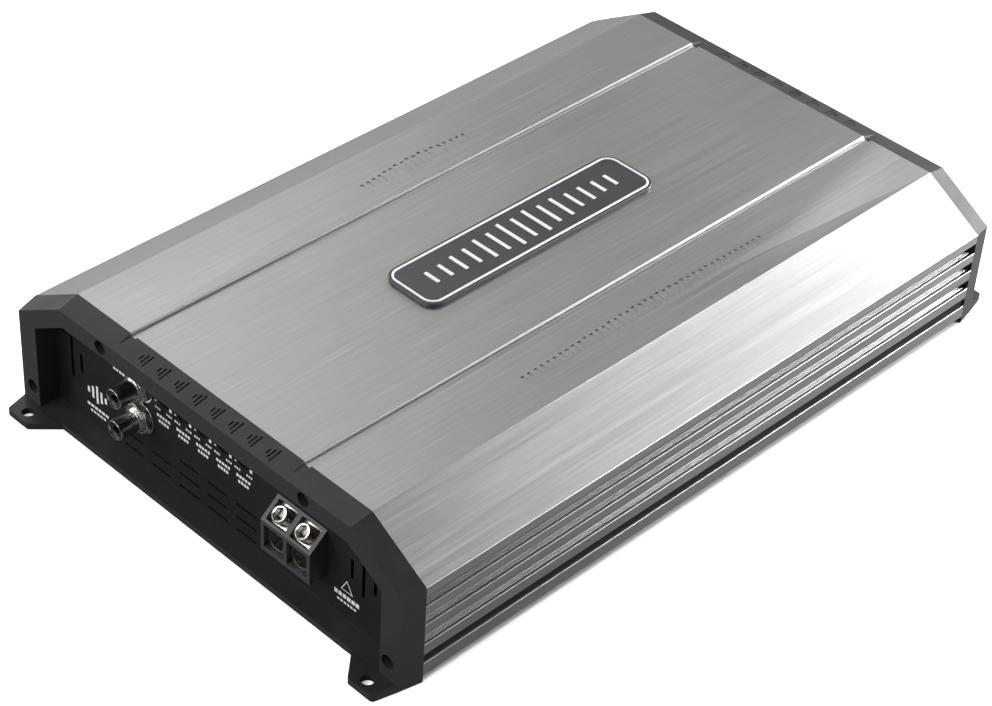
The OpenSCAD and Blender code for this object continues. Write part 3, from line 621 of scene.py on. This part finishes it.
def hex_socket_screw(joint):
    """Clamping screw: rolled thread, chamfered ends and a deep hexagon socket."""
    node = joint["child"]
    axis = -Vector(joint["axis"])
    low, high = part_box(node)
    form = bmesh.new()
    middle = (low + high) / 2
    radius, key = 3.4, 4.0
    length = ((high.z - low.z) / MM - 2 * radius * abs(axis.y)) / abs(axis.z)
    place = facing(middle, axis)
    top, foot = length / 2, -length / 2
    socket = hexagon(key)

    def socket_ring(scale, height):
        return lambda angle: (socket(angle) * scale, height)

    rings = [(1.25, foot + 1.5), (1.25, foot), (radius - 0.6, foot), (radius - 0.15, foot + 0.5)]
    rings += thread(radius, 0.42, 1.0, foot + 0.6, top - 0.75, 8)
    rings += [(radius - 0.05, top - 0.5), (radius - 0.1, top - 0.35), (radius - 0.5, top),
              (2.55, top), socket_ring(1.05, top - 0.12), socket_ring(1.0, top - 0.3),
              socket_ring(1.0, top - 3.1), (0.4, top - 3.2)]
    skin(form, rings, 72, place)
    replace_node(node, form, crease=35)


# ---------------------------------------------------------------- jacks

def jack_frames():
    """A frame at each jack's panel hole, Z pointing out of the panel."""
    names = ("lower_signal_jack", "upper_signal_jack")
    holes = [MOUNTS[name]["pos_m"] for name in names]
    return [facing((hole[0], FRONT_SEAM, hole[2]), OUT_OF_FRONT) for hole in holes]


def build_jacks():
    """Nickel-plated phono jacks: threaded barrel, plastic insulator with a sprung contact,
    chamfered nut over a washer."""
    shells, insulators, contacts = bmesh.new(), bmesh.new(), bmesh.new()
    nuts, washers = bmesh.new(), bmesh.new()
    across_flats = 12.0
    flats, half = hexagon(across_flats), across_flats / 2
    for i, place in enumerate(jack_frames()):
        barrel = [(3.55, -9.0), (4.9, -9.0)]
        barrel += thread(4.9, 0.32, 0.75, -8.8, 4.3, 8)
        barrel += [(4.55, 4.6), (4.15, 4.6), (4.15, 12.2), (4.08, 12.55), (3.88, 12.8),
                   (3.68, 12.8), (3.55, 12.6)]
        skin(shells, barrel, 64, place, closed=True)
        skin(insulators, [(1.95, -9.0), (3.54, -9.0), (3.54, 11.9), (3.4, 12.2), (1.9, 12.2),
                          (1.7, 12.0), (1.7, 10.2), (1.95, 9.9)], 48, place, closed=True)
        skin(contacts, [(1.6, -6.0), (1.9, -6.0), (1.9, 9.4), (1.85, 9.7), (1.66, 9.7),
                        (1.6, 9.5)], 40, place, closed=True)
        skin(contacts, [(0.7, -12.0), (0.7, -9.0)], 24, place)
        skin(contacts, [(1.9, -8.0), (1.9, -6.05)], 40, place)

        def slope(base, sign):
            return lambda a: (flats(a), base + sign * 0.62 * (flats(a) - half))

        turned = facing(place.translation, OUT_OF_FRONT, spin=0.35 + 0.9 * i)
        skin(nuts, [(4.92, 1.1), (5.2, 0.72), (5.85, 0.72), slope(0.85, 1), slope(2.87, -1),
                    (5.75, 3.0), (5.2, 3.0), (4.92, 2.7)], 96, turned, closed=True)
        skin(washers, [(5.0, 0.02), (6.9, 0.02), (7.0, 0.12), (7.0, 0.58), (6.9, 0.68),
                       (5.1, 0.68), (5.0, 0.58)], 72, place, closed=True)
    for form, node, crease in ((shells, "rca_shells", 40), (insulators, "rca_insulators", 30),
                               (contacts, "rca_contacts", 30), (nuts, "rca_nuts", 24),
                               (washers, "rca_washers", 30)):
        replace_node(node, form, crease)


# ---------------------------------------------------------------- dials

def build_dial(joint):
    """Turned dial: fluted edge, chamfered face and a screwdriver slot with a pointer notch."""
    node = joint["child"]
    low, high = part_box(node)
    place = facing((joint["pos_m"][0], low.y, joint["pos_m"][2]), OUT_OF_FRONT)
    length = (high.y - low.y) / MM
    flutes, flute_depth = 18, 0.12
    slot_depth = 1.2

    def fluted(radius, height):
        return lambda a: (radius - flute_depth * (0.5 + 0.5 * math.cos(flutes * a)), height)

    form = bmesh.new()
    skin(form, [(2.4, -length), fluted(2.9, -length + 0.3), fluted(3.0, -0.6),
                fluted(2.95, -0.4), (2.62, 0)], 108, Matrix.Identity(4))
    body = mesh_of(form, node)
    blade = bmesh.new()
    for start, span, width in ((-2.9, 5.8, 1.0), (1.9, 1.4, 0.56)):     # slot, pointer notch
        for vert in bmesh.ops.create_cube(blade, size=1)["verts"]:
            vert.co = Vector((vert.co.y * width, start + (vert.co.x + 0.5) * span,
                              vert.co.z * 2 * slot_depth)) * MM
    body = cut(body, mesh_of(blade, "slot_cutter"))
    body.transform(place)
    form = bmesh.new()
    form.from_mesh(body)
    replace_node(node, form, crease=35)


# ---------------------------------------------------------------- printed marks

def printed(name, form):
    """A mark in white ink on the front panel."""
    finished(name, form, "front_panel", INK_WHITE)


def print_bars(name, bars):
    """Screen-printed bars, each (x0, z0, x1, z1) in millimetres in the front end's frame."""
    form = bmesh.new()
    for x0, z0, x1, z1 in bars:
        corners = [(x0, z0), (x1, z0), (x1, z1), (x0, z1)]
        front = [form.verts.new(FRONT_END @ (Vector((x, -INK_MM, z)) * MM)) for x, z in corners]
        back = [form.verts.new(FRONT_END @ (Vector((x, 0.0, z)) * MM)) for x, z in corners]
        form.faces.new(front)
        form.faces.new(back[::-1])
        for i in range(4):
            j = (i + 1) % 4
            form.faces.new((front[i], back[i], back[j], front[j]))
    printed(name, form)


def dashes(x, z, width, height, count, gap):
    """A row of equal dashes centred on x."""
    step = (width + gap) / count
    return [(x - width / 2 + i * step, z, x - width / 2 + (i + 1) * step - gap, z + height)
            for i in range(count)]


def dial_marks(x, z):
    """Two end ticks round a dial, two scale labels under them, and two lines below those."""
    ticks = [(x - 4.6, z - 3.4, x - 3.7, z - 2.9), (x + 3.5, z - 3.9, x + 4.7, z - 2.5)]
    scale = [bar for side in (-3.2, 3.2) for bar in dashes(x + side, z - 6.6, 3.0, 0.9, 3, 0.4)]
    return (ticks + scale + dashes(x, z - 9.9, 7.4, 1.3, 5, 0.45)
            + dashes(x, z - 12.4, 5.6, 1.3, 4, 0.45))


def control_marks():
    """The dials' marks, the jacks' label, an emblem of five bars, and the lines beneath the
    emblem and the triangle."""
    bars = []
    for joint in DIALS:
        bars += dial_marks(joint["pos_m"][0] / MM, joint["pos_m"][2] / MM)
    jack = MOUNTS["upper_signal_jack"]["pos_m"][0] / MM
    bars += dashes(jack - 13.0, 36.8, 6.5, 1.0, 4, 0.5)
    emblem_left, emblem_z, emblem_step, emblem_bar = jack - 32.4, 17.6, 2.5, 1.2
    for i, rise in enumerate((2.6, 5.4, 8.2, 5.4, 2.6)):
        x = emblem_left + emblem_step * i
        bars.append((x, emblem_z - rise / 2, x + emblem_bar, emblem_z + rise / 2))
    for line in ((jack - 26.8, 9.9, 12.4, 1.3, 6, 0.5), (jack - 26.8, 7.6, 9.0, 1.0, 5, 0.5),
                 (TRIANGLE_X, 11.0, 12.6, 1.9, 6, 0.5), (TRIANGLE_X, 8.6, 9.6, 1.0, 6, 0.5)):
        bars += dashes(*line)
    return bars


def print_triangle(name, x, z, radius, line):
    """A printed triangular outline."""
    form = bmesh.new()
    outlines = []
    for r, y in ((radius, -INK_MM), (radius - line, -INK_MM), (radius - line, 0.0), (radius, 0.0)):
        loop = []
        for i in range(3):
            angle = math.pi / 2 + 2 * math.pi * i / 3
            point = Vector((x + r * math.cos(angle), y, z + r * math.sin(angle)))
            loop.append(form.verts.new(FRONT_END @ (point * MM)))
        outlines.append(loop)
    for low, high in zip(outlines, outlines[1:] + outlines[:1]):
        for i in range(3):
            j = (i + 1) % 3
            form.faces.new((low[i], low[j], high[j], high[i]))
    printed(name, form)


# ---------------------------------------------------------------- windings and capacitors

def wound_ring(form, low, high, hole, wire, turns):
    """Wire wound tightly round a ring core, in one even layer."""
    middle = (low + high) / 2
    outer = (high.x - low.x) / 2 / MM - wire / 2
    inner = hole + wire / 2
    half = (high.z - low.z) / 2 / MM - wire / 2
    largest_bend = 2.2
    bend = min(largest_bend, half * 0.6)
    path = []
    for cx, cz, start in ((outer - bend, half - bend, 0), (inner + bend, half - bend, 90),
                          (inner + bend, bend - half, 180), (outer - bend, bend - half, 270)):
        for k in range(4):
            angle = math.radians(start + 30 * k)
            path.append((cx + bend * math.cos(angle), cz + bend * math.sin(angle)))
    sides = 7
    for t in range(turns):
        turn = Matrix.Rotation(2 * math.pi * t / turns, 3, "Z")
        loops = []
        for k, (x, z) in enumerate(path):
            before, after = Vector(path[k - 1]), Vector(path[(k + 1) % len(path)])
            along = (after - before).normalized()
            across = Vector((along.y, 0, -along.x))
            loop = []
            for s in range(sides):
                a = 2 * math.pi * s / sides
                offset = across * math.cos(a) + Vector((0, 1, 0)) * math.sin(a)
                point = turn @ (Vector((x, 0, z)) + offset * wire / 2)
                loop.append(form.verts.new(middle + point * MM))
            loops.append(loop)
        for low_loop, high_loop in zip(loops, loops[1:] + loops[:1]):
            for s in range(sides):
                n = (s + 1) % sides
                form.faces.new((low_loop[s], low_loop[n], high_loop[n], high_loop[s]))


def build_windings(node, hole, wire, turns):
    """Winds every ring of a node: hole is the radius that stays open, wire its thickness."""
    form = bmesh.new()
    for low, high in solid_boxes(node):
        wound_ring(form, low, high, hole, wire, turns)
    replace_node(node, form, crease=60)


def build_capacitors():
    """Electrolytic capacitors: shrink sleeve rolled over a beaded can, with a vented lid."""
    sleeves, lids = bmesh.new(), bmesh.new()
    vent = wedge_cross(0.5, 7.0, 0.3)
    for i, (low, high) in enumerate(solid_boxes("capacitors")):
        place = facing(((low.x + high.x) / 2, (low.y + high.y) / 2, low.z), (0, 0, 1), 0.3 * i)
        r, h = (high.x - low.x) / 2 / MM, (high.z - low.z) / MM
        skin(sleeves, [(r - 1.2, 0), (r - 0.3, 0.1), (r, 0.8), (r, 2.6), (r - 0.7, 3.4),
                       (r, 4.2), (r, h - 0.9), (r - 0.35, h - 0.2), (r - 0.9, h), (r - 1.7, h),
                       (r - 1.7, h - 0.5), (r - 1.3, h - 0.7)], 64, place)
        lid = bmesh.new()
        skin(lid, [(r - 1.4, -1.2), (r - 1.4, -0.5), (r - 1.9, -0.32)], 64, Matrix.Identity(4))
        top = cut(mesh_of(lid, "lid"), vent.copy())
        join_copies(lids, top, [place @ Matrix.Translation((0, 0, h * MM))])
    replace_node("capacitors", sleeves, crease=35)
    finished("capacitor_lids", lids, "capacitors", ZINC)


# ---------------------------------------------------------------- the amplifier

for node, part in frame["nodes"].items():
    part.data.materials.clear()
    part.data.materials.append(FINISHES[SLOT_OF[node]])

softened("heatsink", 0.15, runs_lengthwise)
softened("front_end_cap", 0.4, outside_sunk_bars)
softened("rear_end_cap", 0.4, outside_sunk_bars)
for node, width in (("front_panel", 0.12), ("rear_panel", 0.12), ("bottom_plate", 0.15),
                    ("speaker_terminal_block", 0.25), ("power_terminal_block", 0.25),
                    ("speaker_terminal_clamps", 0.28), ("power_terminal_clamps", 0.28),
                    ("nameplate", 0.2), ("nameplate_rim", 0.08), ("nameplate_bars", 0.08),
                    ("remote_level_socket", 0.2), ("power_transistors", 0.15),
                    ("clamp_bars", 0.3)):
    softened(node, width)

# Node, axis out of the head, then shank, head, rise and length in millimetres
for node, axis, shank, head, rise, length in (
        ("front_cap_screws", (0, -1, 0), 2.9, 5.3, 1.9, 12),
        ("rear_cap_screws", (0, 1, 0), 2.9, 5.3, 1.9, 12),
        ("bottom_plate_screws", (0, 0, -1), 3.0, 5.4, 1.8, 5),
        ("board_screws", (0, 0, 1), 2.9, 5.4, 1.8, 5)):
    replace_screws(node, axis, shank, head, rise, length)

DIALS = [joint for joint in frame["joints"] if joint["child"].endswith("_dial")]
for joint in DIALS:
    build_dial(joint)
for joint in frame["joints"]:
    if joint["child"].endswith("_screw"):
        hex_socket_screw(joint)
build_jacks()
build_windings("transformer_windings", 9.0, 0.9, 60)
build_windings("choke_windings", 5.0, 1.3, 28)
build_capacitors()
TRIANGLE_X = 67.0
print_bars("front_panel_marks", control_marks())
print_triangle("front_panel_triangle", TRIANGLE_X, 16.4, 3.6, 0.7)
